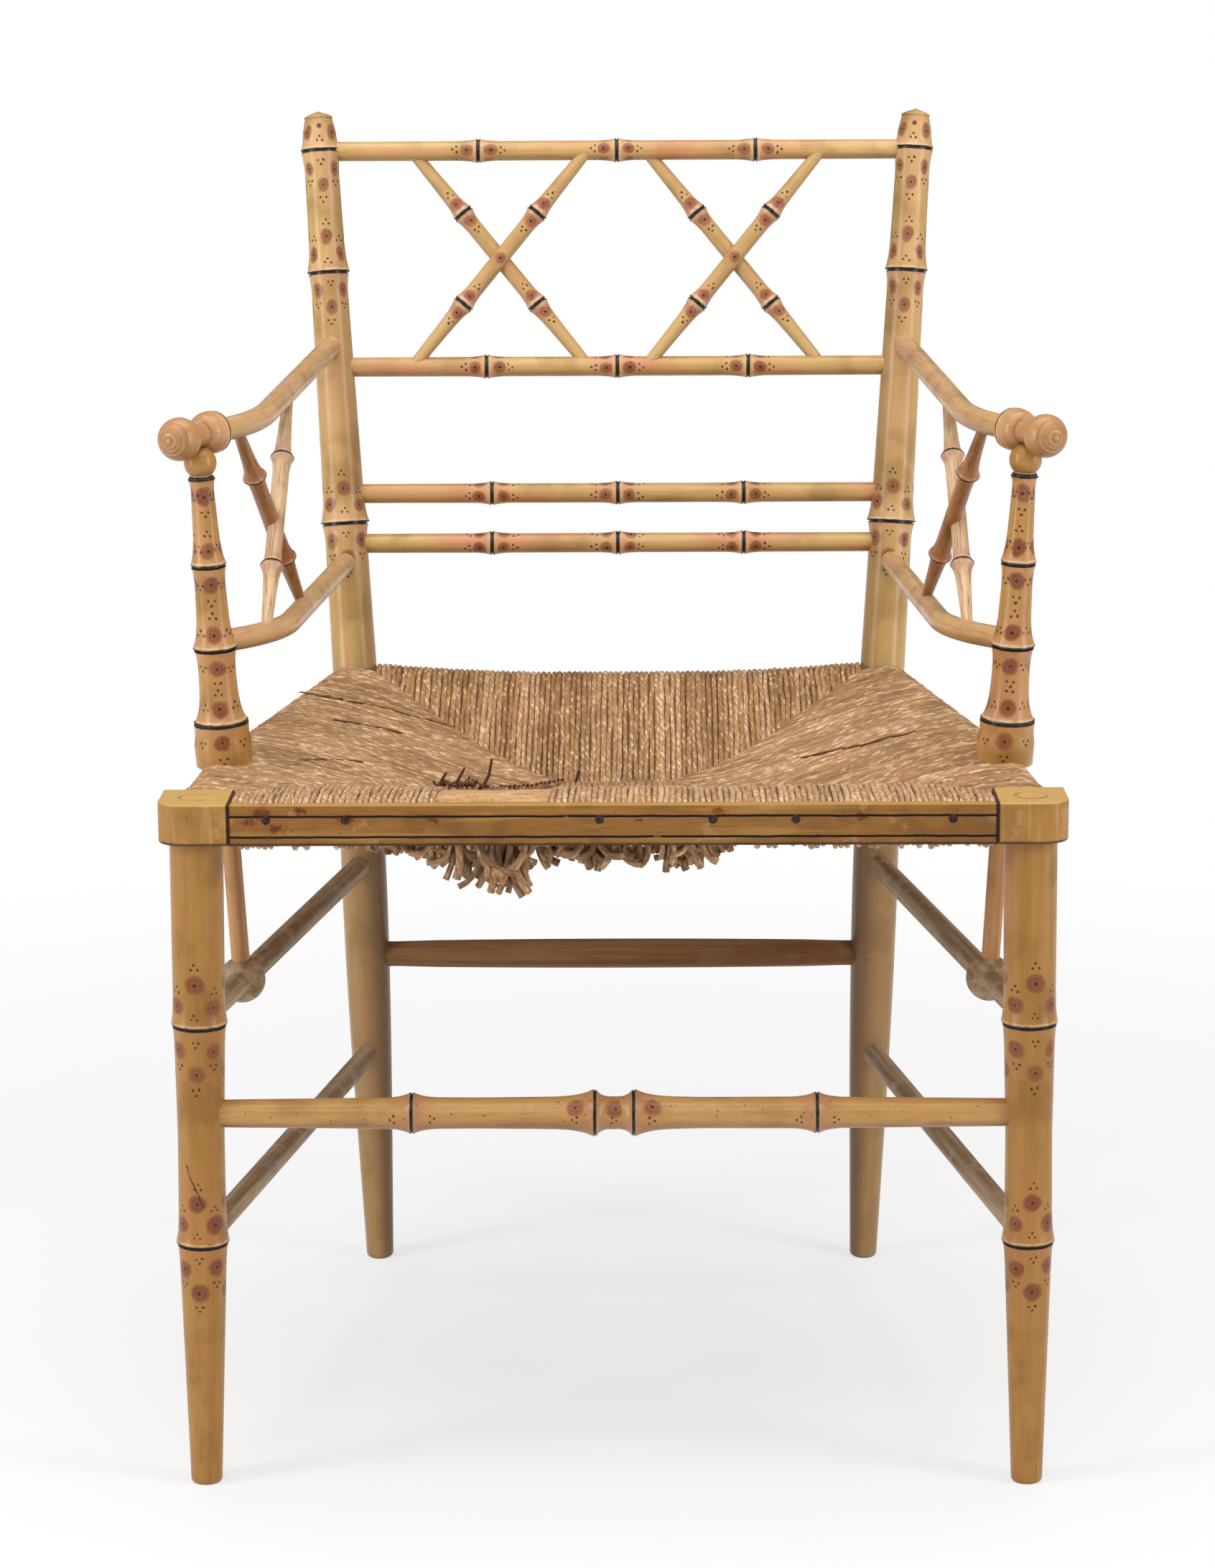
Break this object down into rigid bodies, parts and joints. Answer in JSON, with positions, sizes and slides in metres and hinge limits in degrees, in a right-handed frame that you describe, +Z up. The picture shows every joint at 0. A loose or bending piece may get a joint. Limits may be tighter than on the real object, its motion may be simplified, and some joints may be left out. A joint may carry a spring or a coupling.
{
  "type": "faux bamboo armchair",
  "caption": "Open armchair of turned sticks made to look like bamboo, with cross lattices in the back and under the bowed arms, and a sagging four-panel rush seat.",
  "frame": {"origin": "on the floor, under the middle of the chair's box", "axes": "+Z up, -Y the way a sitter faces, +X to the sitter's left"},
  "size_m": [0.569, 0.5315, 0.8504],
  "materials": {
    "painted_wood": "satin",
    "worn_wood": "matte",
    "rush": "matte",
    "nail_iron": "matte"
  },
  "bodies": {
    "root": {"left_rear_post": "painted_wood", "right_rear_post": "painted_wood", "crest_rail": "painted_wood", "lattice_rail": "painted_wood", "upper_lumbar_rail": "painted_wood", "lower_lumbar_rail": "painted_wood", "left_lattice_front_spindle": "painted_wood", "left_lattice_rear_spindle": "painted_wood", "right_lattice_front_spindle": "painted_wood", "right_lattice_rear_spindle": "painted_wood", "left_arm": "painted_wood", "right_arm": "painted_wood", "left_arm_grip": "painted_wood", "right_arm_grip": "painted_wood", "left_arm_post": "painted_wood", "right_arm_post": "painted_wood", "left_lower_side_rail": "painted_wood", "right_lower_side_rail": "painted_wood", "left_side_fore_spindle": "worn_wood", "left_side_back_spindle": "worn_wood", "right_side_fore_spindle": "worn_wood", "right_side_back_spindle": "worn_wood", "left_front_leg": "painted_wood", "right_front_leg": "painted_wood", "left_corner_block": "painted_wood", "right_corner_block": "painted_wood", "seat_front_rail": "painted_wood", "seat_back_rail": "painted_wood", "left_seat_rail": "painted_wood", "right_seat_rail": "painted_wood", "rush_seat": "rush", "front_strip": "painted_wood", "left_side_strip": "painted_wood", "right_side_strip": "painted_wood", "strip_nails": "nail_iron", "front_stretcher": "painted_wood", "rear_stretcher": "worn_wood", "left_upper_side_stretcher": "worn_wood", "right_upper_side_stretcher": "worn_wood", "left_lower_side_stretcher": "worn_wood", "right_lower_side_stretcher": "worn_wood"}
  },
  "joints": []
}
